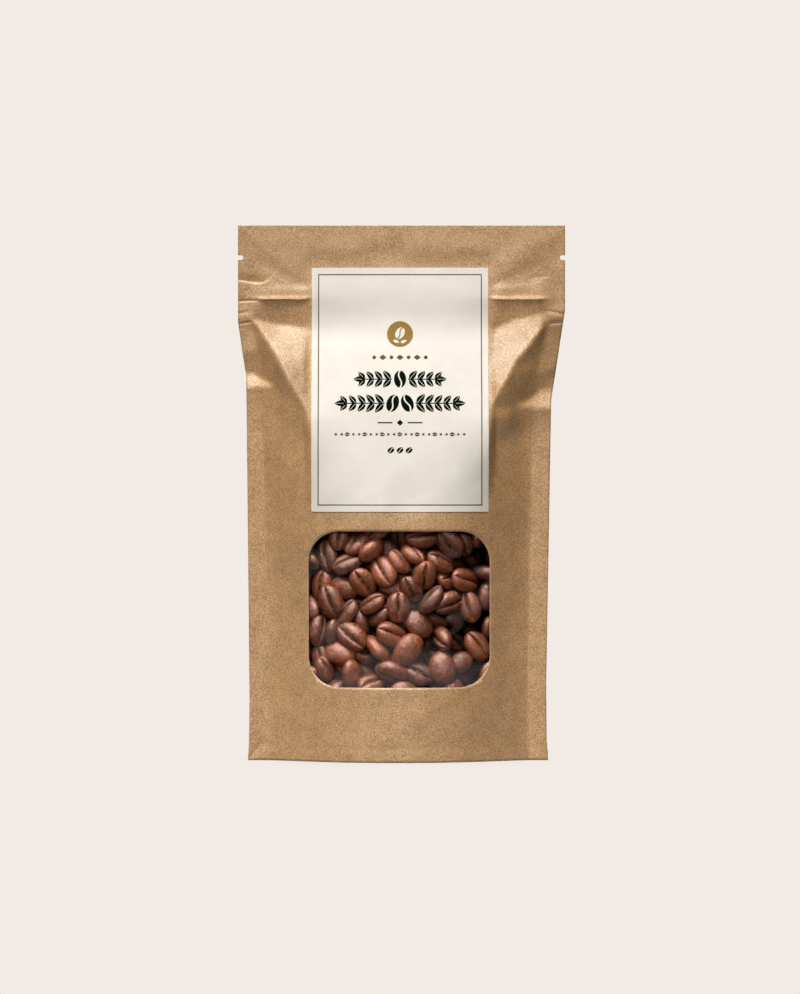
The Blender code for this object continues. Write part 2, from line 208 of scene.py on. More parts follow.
def fold(x, z, path, heights, reach, power=1.0):
    """Height of a fold along a path of (x, z) points in mm, with its height at each point.

    reach is how far the fold spreads to the left and to the right of the path's direction.
    """
    nearest = np.full(np.shape(x), np.inf)
    height = np.zeros(np.shape(x))
    spread = np.ones(np.shape(x))
    for start, end, low, high in zip(path, path[1:], heights, heights[1:]):
        x0, z0 = start[0] * MM, start[1] * MM
        dx, dz = end[0] * MM - x0, end[1] * MM - z0
        along = np.clip(((x - x0) * dx + (z - z0) * dz) / (dx * dx + dz * dz), 0, 1)
        off_x, off_z = x - (x0 + along * dx), z - (z0 + along * dz)
        distance = np.hypot(off_x, off_z)
        closer = distance < nearest
        nearest = np.where(closer, distance, nearest)
        height = np.where(closer, (low + (high - low) * along) * MM, height)
        on_left = dx * off_z - dz * off_x > 0
        spread = np.where(closer, np.where(on_left, reach[0], reach[1]) * MM, spread)
    return height * np.clip(1 - nearest / spread, 0, 1) ** power


def soft_waves(x, z, seed, wavelength, height, count=9):
    """A gentle uneven surface: a sum of plane waves in random directions around one wavelength."""
    rng = random.Random(seed)
    total = np.zeros(np.shape(x))
    for _ in range(count):
        turn = rng.uniform(0, math.pi)
        length = wavelength * rng.uniform(0.6, 1.6)
        phase = rng.uniform(0, 2 * math.pi)
        total += np.sin((x * math.cos(turn) + z * math.sin(turn)) * 2 * math.pi / length + phase)
    return total * height / math.sqrt(count)


def smooth_min(a, b, blend):
    """The smaller of two depths, rounded over where they cross."""
    share = np.clip(0.5 + 0.5 * (b - a) / blend, 0, 1)
    return b + (a - b) * share - blend * share * (1 - share)


def belly(x, z):
    """Depth of the filled part: a flattened lens in plan, between the side seals."""
    left, right = side_edges(z)
    half = (right - left) / 2 - SIDE_SEAL
    across = np.clip(np.abs(x - (left + right) / 2) / half, 0, 1)
    boxy = np.clip((z - BOXY_FROM) / (BOXY_ABOVE - BOXY_FROM), 0, 1)
    lean = np.where(x > (left + right) / 2, 0.6, 0.0)
    lens = (1 - across ** (2.4 + 1.2 * boxy)) ** (1.55 + (lean - 0.4) * boxy)
    return np.minimum(middle_depth(z), BELLY_DEPTH) * lens


def relief_sheet():
    """Depth of the folded relief on a fine raster, with its folds slightly rounded over."""
    names = list(RELIEF)
    spots = [Vector((RELIEF[name][0] * MM, RELIEF[name][1] * MM)) for name in names]
    depths = [belly(spot.x, spot.y) if RELIEF[name][2] is None else RELIEF[name][2] * MM
              for name, spot in zip(names, spots)]
    folds = [(names.index(a), names.index(b)) for line in FOLD_LINES for a, b in zip(line, line[1:])]
    corners, _, faces, sources, _, _ = delaunay_2d_cdt(spots, folds, [], 0, 1e-6)
    x, z = np.meshgrid(RASTER_X, RASTER_Z, indexing="ij")
    depth = np.zeros_like(x)
    for face in faces:
        (ax, az), (bx, bz), (cx, cz) = (corners[index] for index in face)
        da, db, dc = (np.mean([depths[source] for source in sources[index]]) for index in face)
        area = (bx - ax) * (cz - az) - (cx - ax) * (bz - az)
        u = ((x - ax) * (cz - az) - (z - az) * (cx - ax)) / area
        v = ((z - az) * (bx - ax) - (x - ax) * (bz - az)) / area
        inside = (u >= -1e-6) & (v >= -1e-6) & (u + v <= 1 + 1e-6)
        depth = np.where(inside, da + (db - da) * u + (dc - da) * v, depth)
    for _ in range(RELIEF_SOFTENING):
        depth[1:-1, :] = (depth[:-2, :] + 2 * depth[1:-1, :] + depth[2:, :]) / 4
        depth[:, 1:-1] = (depth[:, :-2] + 2 * depth[:, 1:-1] + depth[:, 2:]) / 4
    return depth


def sample(sheet, x, z):
    """Read a raster sheet between its points."""
    step = RASTER_X[1] - RASTER_X[0]
    i = np.clip((np.asarray(x) - RASTER_X[0]) / step, 0, len(RASTER_X) - 1.001)
    j = np.clip((np.asarray(z) - RASTER_Z[0]) / step, 0, len(RASTER_Z) - 1.001)
    i0, j0 = i.astype(int), j.astype(int)
    fi, fj = i - i0, j - j0
    low = sheet[i0, j0] * (1 - fi) + sheet[i0 + 1, j0] * fi
    high = sheet[i0, j0 + 1] * (1 - fi) + sheet[i0 + 1, j0 + 1] * fi
    return low * (1 - fj) + high * fj


RASTER_X = np.arange(-0.067, 0.0671, 0.0004)
RASTER_Z = np.arange(0.120, 0.2131, 0.0004)
RELIEF_SOFTENING = 6
RIM_CELL = 0.00008         # height of the row of cells at the top edge, which keeps the edge crisp
SHEET = relief_sheet()


def creases(x, z):
    """Small sharp creases in the fins beside the zip, and in the header: depth below the paper around."""
    total = 0
    for path, heights, reach in (
            ([(-66, 191.0), (-59.4, 190.2)], (0.35, 0.30), (2.6, 0.6)),
            ([(-58.8, 189.7), (-55.0, 189.9), (-53.3, 191.2), (-51.3, 193.2)], (0.3, 0.45, 0.35, 0.0), (3.6, 0.6)),
            ([(-66, 182.3), (-57.6, 182.6)], (0.15, 0.3), (1.0, 0.5)),
            ([(-66, 177.6), (-60.5, 178.6)], (0.35, 0.1), (0.5, 1.6)),
            ([(-64.5, 173.4), (-60.3, 174.1)], (0.2, 0.35), (0.8, 0.5)),
            ([(66, 177.3), (58.3, 178.8)], (0.35, 0.2), (1.6, 0.5)),
            ([(64, 173.9), (59.6, 173.6)], (0.2, 0.5), (0.6, 1.2)),
            ([(57.3, 191.9), (50.3, 191.3)], (0.12, 0.0), (0.6, 2.6)),
            ([(-61.0, 207.9), (-58.7, 203.5)], (0.0, 0.25), (1.8, 0.5)),
            ([(-58, 6.3), (-20, 5.8), (20, 6.2), (55, 6.0)], (0.18, 0.14, 0.18, 0.14), (0.5, 1.2)),
            ([(-61, 0.6), (-55.2, 7.6)], (0.5, 0.1), (1.0, 2.0)),
            ([(58.5, 0.4), (53.8, 9.8)], (0.5, 0.1), (3.0, 0.8))):
        total = total + fold(x, z, path, heights, reach)
    return total * CREASE_DEPTH


def zip_bead(x, z):
    """Height of the thin bead along the zip, which wavers a little and runs out at both ends."""
    level = np.zeros_like(x)
    line = ZIP_Z + soft_waves(x, level, 31, 0.0035, 0.00010) + soft_waves(x, level, 32, 0.02, 0.0001)
    ends = np.clip((0.0585 - np.abs(x)) / 0.004, 0, 1)
    above = np.clip(1 - (z - line) / BEAD_REACH[0], 0, 1) * (z >= line)
    below = np.clip(1 - (line - z) / BEAD_REACH[1], 0, 1) * (z < line)
    swell = 1 + soft_waves(x, level, 33, 0.0028, BEAD_SWELL)
    return BEAD_HEIGHT * swell * ends * (above + below)


def bridged(x, z, depth):
    """Depth of the paper once the label holds it straight across the hollow under the zip."""
    off = np.abs(x - LABEL_CENTRE[0])
    cover = np.clip((LABEL_SIZE[0] / 2 + LABEL_SKIRT - off) / LABEL_SKIRT, 0, 1)
    cover = cover * np.clip((z - BRIDGE_FOOT) / BRIDGE_BLEND, 0, 1)
    cover = cover * np.clip((LABEL_HIGH.z + HEAD_BLEND - z) / HEAD_BLEND, 0, 1)
    cover = cover * cover * (3 - 2 * cover)
    heights, shares = zip(*LABEL_ROUND)
    less = np.interp(z, np.array(heights) * MM, shares)
    straight = middle_depth(z) * (1 - less * np.minimum(off / LABEL_SIZE[0] * 2, 1) ** 2)
    return depth + (straight - depth) * cover


def panel_depth(x, z, labelled):
    """Depth of one panel in front of the side seals' plane."""
    side = 1 if labelled else -1
    share = np.clip((z - RELIEF_BELOW) / RELIEF_BLEND, 0, 1)
    left, right = side_edges(z)
    inside = np.clip((np.minimum(x - left, right - x) - SIDE_SEAL) / 0.010, 0, 1)
    waves = soft_waves(side * x, z, 41, 0.026, 0.00028) + soft_waves(side * x, z, 42, 0.009, 0.00004)
    depth = np.maximum(belly(x, z), SEAL_HALF)
    depth = depth + (sample(SHEET, side * x, z) - depth) * share * share * (3 - 2 * share)
    depth = depth + waves * inside * np.clip((HEIGHT - z) / 0.010, 0, 1) * np.clip(z / 0.02, 0.2, 1)
    if labelled:
        depth = bridged(x, z, depth - creases(x, z) + zip_bead(x, z))
    return depth


def front_y(x, z):
    """Y of the pouch's front."""
    return -panel_depth(x, z, labelled=True)


def back_y(x, z):
    """Y of the pouch's back, which stays behind the front."""
    return np.maximum(panel_depth(x, z, labelled=False), front_y(x, z) + 2 * PAPER + SEAL_GAP)


def label_y(x, z):
    """Y of the back of the label."""
    return front_y(x, z) - LABEL_STAND_OFF


def rounded(x, z, size, corner, reach):
    """Move grid points so that the rectangle of that size gets round corners.

    x and z are measured from the rectangle's centre. Points outside follow, up to reach away.
    """
    a = np.abs(x) - (size[0] / 2 - corner)
    b = np.abs(z) - (size[1] / 2 - corner)
    in_corner = (a > 0) & (b > 0)
    a, b = np.where(in_corner, a, 1.0), np.where(in_corner, b, 1.0)
    far = np.maximum(a, b)
    pull = (far / np.hypot(a, b) - 1) * np.minimum(1.0, corner / far)
    pull = np.where(far > corner, pull * np.clip(1 - (far - corner) / reach, 0, 1), pull)
    pull = np.where(in_corner, pull, 0.0)
    return x + pull * a * np.sign(x), z + pull * b * np.sign(z)


# ---------------------------------------------------------------- building blocks

def divided(marks, cell):
    """Positions from the first mark to the last, with every mark among them and cells of about that size."""
    places = [marks[0]]
    for low, high in zip(marks, marks[1:]):
        count = max(1, round((high - low) / cell))
        places += [low + (high - low) * step / count for step in range(1, count + 1)]
    return np.array(places)


def add_grid(bm, xs, ys, zs):
    """Add a grid of quads whose corner (i, j) is at (xs[i, j], ys[i, j], zs[i, j]); return its faces by corner."""
    cells_x, cells_z = xs.shape[0] - 1, xs.shape[1] - 1
    made = bmesh.ops.create_grid(bm, x_segments=cells_x, y_segments=cells_z, size=0.5)
    faces = {}
    for face in {face for vert in made["verts"] for face in vert.link_faces}:
        centre = face.calc_center_median()
        faces[int((centre.x + 0.5) * cells_x), int((centre.y + 0.5) * cells_z)] = face
    for vert in made["verts"]:
        i = round((vert.co.x + 0.5) * cells_x)
        j = round((vert.co.y + 0.5) * cells_z)
        vert.co = (xs[i, j], ys[i, j], zs[i, j])
    return faces


def add_piece(bm, name, body_slot, stands_for, *materials, smooth=True):
    """Finish a bmesh as a piece that rides on the pouch's body and replaces a node."""
    mesh = bpy.data.meshes.new(name)
    bm.to_mesh(mesh)
    bm.free()
    if smooth:
        mesh.shade_smooth()
    for material in materials:
        mesh.materials.append(material)
    piece = bpy.data.objects.new(name, mesh)
    bpy.context.scene.collection.objects.link(piece)
    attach(piece, "root")
    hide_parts(stands_for)
    return piece


def thicken(piece, thickness, rim_material=0):
    """Give a sheet its thickness, away from the side that its faces point to."""
    wall = piece.modifiers.new("thickness", "SOLIDIFY")
    wall.thickness = thickness
    wall.offset = -1.0
    wall.use_even_offset = True
    wall.material_offset_rim = rim_material
    return wall


# ---------------------------------------------------------------- node groups and materials

def new_node(tree, kind, inputs=(), **settings):
    """Add a shader node, with its settings and the values of the inputs that are named or numbered."""
    made = tree.nodes.new(kind)
    for key, value in settings.items():
        setattr(made, key, value)
    for key, value in dict(inputs).items():
        made.inputs[key].default_value = value
    return made


def noise(tree, coordinates, scale, detail=2.0, roughness=0.5):
    """A noise texture on the given coordinates; returns its Fac socket."""
    made = new_node(tree, "ShaderNodeTexNoise", {"Scale": scale, "Detail": detail, "Roughness": roughness})
    tree.links.new(coordinates, made.inputs["Vector"])
    return made.outputs["Fac"]


def combine(tree, operation, first, second):
    """A Math node on two sockets or numbers; returns its Value socket."""
    made = new_node(tree, "ShaderNodeMath", operation=operation)
    for socket, value in zip(made.inputs, (first, second)):
        if isinstance(value, (int, float)):
            socket.default_value = value
        else:
            tree.links.new(value, socket)
    return made.outputs["Value"]


def paper_fibre_group():
    """Group: the fine fibre and the broader cloudiness of a sheet of paper."""
    group = bpy.data.node_groups.new("paper_fibre", "ShaderNodeTree")
    for name, value in (("Fine Scale", 1500.0), ("Broad Scale", 160.0), ("Fine Share", 0.6)):
        socket = group.interface.new_socket(name, in_out="INPUT", socket_type="NodeSocketFloat")
        socket.default_value = value
    for name in ("Tone", "Height"):
        group.interface.new_socket(name, in_out="OUTPUT", socket_type="NodeSocketFloat")
    given = group.nodes.new("NodeGroupInput")
    result = group.nodes.new("NodeGroupOutput")
    place = group.nodes.new("ShaderNodeTexCoord").outputs["Object"]
    fine = new_node(group, "ShaderNodeTexNoise", {"Detail": 3.0, "Roughness": 0.75})
    broad = new_node(group, "ShaderNodeTexNoise", {"Detail": 3.0, "Roughness": 0.55})
    for texture, scale in ((fine, "Fine Scale"), (broad, "Broad Scale")):
        group.links.new(place, texture.inputs["Vector"])
        group.links.new(given.outputs[scale], texture.inputs["Scale"])
    fine_part = combine(group, "MULTIPLY", fine.outputs["Fac"], given.outputs["Fine Share"])
    broad_share = combine(group, "SUBTRACT", 1.0, given.outputs["Fine Share"])
    broad_part = combine(group, "MULTIPLY", broad.outputs["Fac"], broad_share)
    group.links.new(combine(group, "ADD", fine_part, broad_part), result.inputs["Tone"])
    group.links.new(fine.outputs["Fac"], result.inputs["Height"])
    return group


def paper_material(name, fibre, dark, light, roughness, sheen, bump, fine=1500.0, broad=160.0, fine_share=0.6):
    """A sheet of paper whose colour runs between two tones with its fibre."""
    material = bpy.data.materials.new(name)
    material.use_nodes = True
    tree = material.node_tree
    shader = tree.nodes["Principled BSDF"]
    shader.inputs["Roughness"].default_value = roughness
    shader.inputs["IOR"].default_value = 2.0
    shader.inputs["Specular Tint"].default_value = (1.0, 0.98, 0.90, 1.0)
    grain = tree.nodes.new("ShaderNodeGroup")
    grain.node_tree = fibre
    for socket, value in (("Fine Scale", fine), ("Broad Scale", broad), ("Fine Share", fine_share)):
        grain.inputs[socket].default_value = value
    tones = tree.nodes.new("ShaderNodeValToRGB")
    tones.color_ramp.elements[0].position = 0.39
    tones.color_ramp.elements[0].color = (*dark, 1.0)
    tones.color_ramp.elements[1].position = 0.61
    tones.color_ramp.elements[1].color = (*light, 1.0)
    tree.links.new(grain.outputs["Tone"], tones.inputs["Fac"])
    tree.links.new(tones.outputs["Color"], shader.inputs["Base Color"])
    shine = new_node(tree, "ShaderNodeMapRange", {"From Min": 0.39, "From Max": 0.61, "To Min": sheen * 0.6,
                                                  "To Max": sheen * 1.4})
    tree.links.new(grain.outputs["Tone"], shine.inputs["Value"])
    tree.links.new(shine.outputs["Result"], shader.inputs["Specular IOR Level"])
    relief = new_node(tree, "ShaderNodeBump", {"Strength": 1.0, "Distance": bump})
    tree.links.new(grain.outputs["Height"], relief.inputs["Height"])
    tree.links.new(relief.outputs["Normal"], shader.inputs["Normal"])
    return material


def bean_material():
    """Roasted bean skin: brown mottle by bean, painted shade in the crease, with pale silverskin in places, and
    painted shade on the beans that lie deeper behind the film.
    """
    material = bpy.data.materials.new("roasted_bean")
    material.use_nodes = True
    tree = material.node_tree
    shader = tree.nodes["Principled BSDF"]
    shader.inputs["Specular Tint"].default_value = (1.0, 0.75, 0.67, 1.0)
    shader.inputs["IOR"].default_value = 1.85
    place = tree.nodes.new("ShaderNodeTexCoord").outputs["Object"]
    crease = new_node(tree, "ShaderNodeAttribute", attribute_name="crease").outputs["Fac"]
    roast = new_node(tree, "ShaderNodeAttribute", attribute_name="roast").outputs["Fac"]

    cloud = noise(tree, place, 420.0, 4.0, 0.6)
    fleck = noise(tree, place, 1200.0, 4.0, 0.75)
    tone = combine(tree, "ADD", combine(tree, "MULTIPLY", cloud, 0.45), combine(tree, "MULTIPLY", fleck, 1.2))
    tone = combine(tree, "ADD", combine(tree, "SUBTRACT", tone, 0.3), combine(tree, "MULTIPLY", roast, 0.28))
    skin = tree.nodes.new("ShaderNodeValToRGB")
    skin.color_ramp.elements[0].position = 0.42
    skin.color_ramp.elements[0].color = (0.034, 0.007, 0.003, 1.0)
    skin.color_ramp.elements[1].position = 0.94
    skin.color_ramp.elements[1].color = (0.530, 0.150, 0.060, 1.0)
    tree.links.new(tone, skin.inputs["Fac"])

    # in the crease, the near-black tone is painted shade and the golden tone is the silverskin
    crease_shade_and_silverskin = tree.nodes.new("ShaderNodeValToRGB")
    crease_shade_and_silverskin.color_ramp.elements[0].position = 0.45
    crease_shade_and_silverskin.color_ramp.elements[0].color = (0.006, 0.002, 0.001, 1.0)
    crease_shade_and_silverskin.color_ramp.elements[1].position = 0.58
    crease_shade_and_silverskin.color_ramp.elements[1].color = (0.50, 0.27, 0.11, 1.0)
    tree.links.new(noise(tree, place, 520.0, 2.0, 0.5), crease_shade_and_silverskin.inputs["Fac"])
    mix = new_node(tree, "ShaderNodeMix", data_type="RGBA")
    tree.links.new(crease, mix.inputs["Factor"])
    tree.links.new(skin.outputs["Color"], mix.inputs["A"])
    tree.links.new(crease_shade_and_silverskin.outputs["Color"], mix.inputs["B"])
    # painted shade: the deeper a bean lies behind the film, the more its colour is mixed towards near black and its
    # reflection taken away
    painted_gap_shade = new_node(tree, "ShaderNodeAttribute", attribute_name="painted_gap_shade").outputs["Fac"]
    gap_shaded_skin = new_node(tree, "ShaderNodeMix", {"B": (0.006, 0.002, 0.001, 1.0)}, data_type="RGBA")
    tree.links.new(painted_gap_shade, gap_shaded_skin.inputs["Factor"])
    tree.links.new(mix.outputs["Result"], gap_shaded_skin.inputs["A"])
    tree.links.new(gap_shaded_skin.outputs["Result"], shader.inputs["Base Color"])
    tree.links.new(combine(tree, "SUBTRACT", 1.0, painted_gap_shade), shader.inputs["Specular IOR Level"])

    gloss = combine(tree, "ADD", combine(tree, "MULTIPLY", cloud, 0.3), 0.22)
    tree.links.new(gloss, shader.inputs["Roughness"])
    relief = new_node(tree, "ShaderNodeBump", {"Strength": 1.0, "Distance": 0.0003})
    tree.links.new(combine(tree, "ADD", cloud, combine(tree, "MULTIPLY", fleck, 0.8)), relief.inputs["Height"])
    tree.links.new(relief.outputs["Normal"], shader.inputs["Normal"])
    return material


def core_shade_material():
    """Near-black mass of beans that shows only as the gaps between the loose ones: painted shade."""
    material = bpy.data.materials.new("bean_core_shade")
    material.use_nodes = True
    tree = material.node_tree
    shader = tree.nodes["Principled BSDF"]
    shader.inputs["Roughness"].default_value = 0.8
    place = tree.nodes.new("ShaderNodeTexCoord").outputs["Object"]
    # near-black tones: painted shade, not the beans' own colour
    tones = tree.nodes.new("ShaderNodeValToRGB")
    tones.color_ramp.elements[0].position = 0.35
    tones.color_ramp.elements[0].color = (0.005, 0.0015, 0.001, 1.0)
    tones.color_ramp.elements[1].position = 0.75
    tones.color_ramp.elements[1].color = (0.028, 0.009, 0.005, 1.0)
    tree.links.new(noise(tree, place, 300.0, 3.0, 0.6), tones.inputs["Fac"])
    tree.links.new(tones.outputs["Color"], shader.inputs["Base Color"])
    return material


def film_material():
    """Thin clear film that lets lamps through to the beans."""
    material = bpy.data.materials.new("clear_film")
    material.use_nodes = True
    tree = material.node_tree
    shader = tree.nodes["Principled BSDF"]
    shader.inputs["Base Color"].default_value = (1.0, 1.0, 1.0, 1.0)
    shader.inputs["Roughness"].default_value = 0.0
    shader.inputs["IOR"].default_value = 1.45
    shader.inputs["Transmission Weight"].default_value = 1.0
    clear = tree.nodes.new("ShaderNodeBsdfTransparent")
    path = tree.nodes.new("ShaderNodeLightPath")
    through = combine(tree, "SUBTRACT", 1.0, path.outputs["Is Camera Ray"])
    mix = tree.nodes.new("ShaderNodeMixShader")
    tree.links.new(through, mix.inputs["Fac"])
    tree.links.new(shader.outputs["BSDF"], mix.inputs[1])
    tree.links.new(clear.outputs["BSDF"], mix.inputs[2])
    tree.links.new(mix.outputs["Shader"], tree.nodes["Material Output"].inputs["Surface"])
    return material


# ---------------------------------------------------------------- kraft paper pouch

def panel_grid(cell):
    """X and Z of a panel's grid points, and the grid's columns and rows that bound the window.

    Cells are of the given size in the belly, and finer at the folds.
    """
    low_x, high_x = WINDOW_CENTRE[0] - WINDOW_SIZE[0] / 2, WINDOW_CENTRE[0] + WINDOW_SIZE[0] / 2
    low_z, high_z = WINDOW_CENTRE[1] - WINDOW_SIZE[1] / 2, WINDOW_CENTRE[1] + WINDOW_SIZE[1] / 2
    rim = NOTCH_RADIUS * 1.03
    in_notch = NOTCH_Z + NOTCH_RADIUS * np.sin(np.linspace(-math.pi / 2, math.pi / 2, 9))
    rows = np.concatenate([divided([0.0, low_z, high_z, RELIEF_BELOW], cell),
                           divided([RELIEF_BELOW, 0.171], cell * 0.6)[1:],
                           divided([0.171, 0.181], cell * 0.32)[1:],
                           divided([0.181, 0.186], cell * 0.2)[1:], divided([0.186, 0.193], cell * 0.32)[1:],
                           divided([0.193, NOTCH_Z - rim], cell)[1:], in_notch,
                           divided([NOTCH_Z + rim, HEIGHT - RIM_CELL], cell), [HEIGHT]])
    share = divided([0.0, SIDE_SEAL, low_x + HALF_WIDTH], cell * 0.6) / (low_x + HALF_WIDTH)
    middle = divided([low_x, high_x], cell)

    left, right = side_edges(rows)
    cut = notch(rows)
    flanks_left = np.array([fin_spread(part, left + cut, left, low_x) for part in share[:-1]])
    centre = np.repeat(middle[:, None], len(rows), axis=1)
    flanks_right = np.array([fin_spread(part, right - cut, right, high_x) for part in share[::-1][1:]])
    x = np.concatenate([flanks_left, centre, flanks_right])
    z = np.tile(rows, (len(x), 1))
    dx, dz = rounded(x - WINDOW_CENTRE[0], z - WINDOW_CENTRE[1], WINDOW_SIZE, WINDOW_CORNER, reach=0.012)
    window_columns = (len(share) - 1, len(share) - 1 + len(middle) - 1)
    window_rows = (int(np.argmin(np.abs(rows - low_z))), int(np.argmin(np.abs(rows - high_z))))
    return WINDOW_CENTRE[0] + dx, WINDOW_CENTRE[1] + dz, window_columns, window_rows


def fin_spread(share, edge, seal_edge, inner):
    """X at a share of the way from the pouch's edge to the window's side, with the seal at its own width."""
    seal_share = SIDE_SEAL / (HALF_WIDTH + WINDOW_CENTRE[0] - WINDOW_SIZE[0] / 2)
    seal_x = seal_edge + math.copysign(SIDE_SEAL, inner - seal_edge[0])
    in_seal = edge + (seal_x - edge) * (share / seal_share)
    in_flank = seal_x + (inner - seal_x) * ((share - seal_share) / (1 - seal_share))
    return in_seal if share <= seal_share + 1e-9 else in_flank


def make_front(kraft, cut_edge):
    """The front panel, with its window cut out."""
    x, z, (first, last), (bottom, top) = panel_grid(0.0011)
    bm = bmesh.new()
    faces = add_grid(bm, x, front_y(x, z), z)
    inside = [faces[i, j] for i in range(first, last) for j in range(bottom, top)]
    bmesh.ops.delete(bm, geom=inside, context="FACES")
    front = add_piece(bm, "kraft_front", "kraft_paper", "pouch", kraft, cut_edge)
    thicken(front, PAPER, rim_material=1)
    return front


def make_back(kraft, cut_edge):
    """The back panel."""
    x, z, _, _ = panel_grid(0.0018)
    bm = bmesh.new()
    add_grid(bm, x, back_y(x, z), z)
    bmesh.ops.reverse_faces(bm, faces=bm.faces)
    back = add_piece(bm, "kraft_back", "kraft_paper", "pouch", kraft, cut_edge)
    thicken(back, PAPER, rim_material=1)
    return back


def make_gusset(kraft, cut_edge):
    """The base: a folded sheet between the two panels that sags to the ground in its middle."""
    left, right = side_edges(np.array(0.0))
    columns = divided([float(left) + SIDE_SEAL, float(right) - SIDE_SEAL], 0.0015)[1:-1]
    across = np.linspace(-1, 1, 45)
    x = np.repeat(columns[:, None], len(across), axis=1)
    front = front_y(x, np.zeros_like(x)) + PAPER + 0.00002
    back = back_y(x, np.zeros_like(x)) - PAPER - 0.00002
    y = (front + back) / 2 + (back - front) / 2 * across[None, :]
    from_rim = np.minimum(y - front, back - y)
    rise = np.clip(from_rim / 0.0006, 0, 1) * 0.0032
    half_depth = (back - front) / 2
    sag = np.clip((from_rim - 0.003) / 0.006, 0, 1)
    sag = sag * sag * (3 - 2 * sag)
    z = 0.0002 + rise * (1 - sag) + np.clip(0.010 - half_depth, 0, 0.01) * np.clip(from_rim / 0.002, 0, 1)
    bm = bmesh.new()
    add_grid(bm, x, y, z)
    gusset = add_piece(bm, "kraft_gusset", "kraft_paper", "pouch", kraft, cut_edge)
    bmesh_faces_down(gusset)
    thicken(gusset, PAPER * 0.6, rim_material=1)
    return gusset


def bmesh_faces_down(piece):
    """Turn a sheet's faces so that they point down."""
    bm = bmesh.new()
    bm.from_mesh(piece.data)
    bm.normal_update()
    turned = [face for face in bm.faces]
    if sum(face.normal.z for face in turned) > 0:
        bmesh.ops.reverse_faces(bm, faces=turned)
    bm.to_mesh(piece.data)
    bm.free()


# ---------------------------------------------------------------- window film, beans and core

def film_bulge(x, z):
    """How far the beans push the film out: a shallow cushion whose crest crosses the window's lower half."""
    across = (x - WINDOW_CENTRE[0]) / (WINDOW_SIZE[0] / 2)
    crest = FILM_CREST_Z + FILM_CREST_RISE * across
    reach = np.where(z > crest, WINDOW_CENTRE[1] + WINDOW_SIZE[1] / 2 - crest,
                     crest - WINDOW_CENTRE[1] + WINDOW_SIZE[1] / 2)
    up = np.clip(np.abs(z - crest) / reach, 0, 1)
    edge = np.clip((1 - np.maximum(up, np.abs(across))) / 0.1, 0, 1)
    cushion = FILM_BULGE * (1 - up ** 2) * np.clip(1 - np.abs(across) ** 6, 0, 1)
    return cushion + edge * soft_waves(x, z, 21, 0.03, 0.00002)


def make_film(film):
    """The clear film behind the window, a little larger than the opening."""
    margin = 0.004
    size = (WINDOW_SIZE[0] + 2 * margin, WINDOW_SIZE[1] + 2 * margin)
    u = divided([-size[0] / 2, size[0] / 2], 0.0012)
    v = divided([-size[1] / 2, size[1] / 2], 0.0012)
    x, z = np.meshgrid(u, v, indexing="ij")
    x, z = rounded(x, z, size, WINDOW_CORNER + margin, reach=0.001)
    x, z = x + WINDOW_CENTRE[0], z + WINDOW_CENTRE[1]
    bm = bmesh.new()
    add_grid(bm, x, front_y(x, z) + PAPER + 0.00003 - film_bulge(x, z), z)
    sheet = add_piece(bm, "window_sheet", "clear_film", "window_film", film)
    thicken(sheet, FILM_THICKNESS)
    return sheet


BEAN_SECTION = [           # half of a bean's cross-section, across and up in mm, from crease to crown
    (0.00, -0.95), (0.16, -1.45), (0.42, -2.15), (1.05, -2.52), (2.40, -2.30), (3.60, -1.55),
    (4.35, -0.30), (4.30, 1.10), (3.55, 2.25), (2.05, 3.05), (0.00, 3.35),
]
BEAN_HALF_LENGTH = 6.0
TRAY_SCALE = 0.1           # the beans settle in a tray that is built at this many units to the mm
TRAY_MARGIN = 0.009        # how far the beans reach past the window, behind the paper
BEAN_COUNT = 140
BEAN_CLEARANCE = 0.0002
CREASE_UP_SHARE = 0.55     # share of the beans lying crown up that are turned to show their crease
GAP_SHADE_DEPTH = (0.0028, 0.0095)   # behind the film, over which the beans' colour is painted darker, down to near black: painted shade in the gaps
CORE_DEPTH = 0.013         # how far the core lies behind the paper's front
CORE_THICKNESS = 0.0015
KEPT_DEPTH = 0.017         # beans that end up deeper than this behind the film are left out


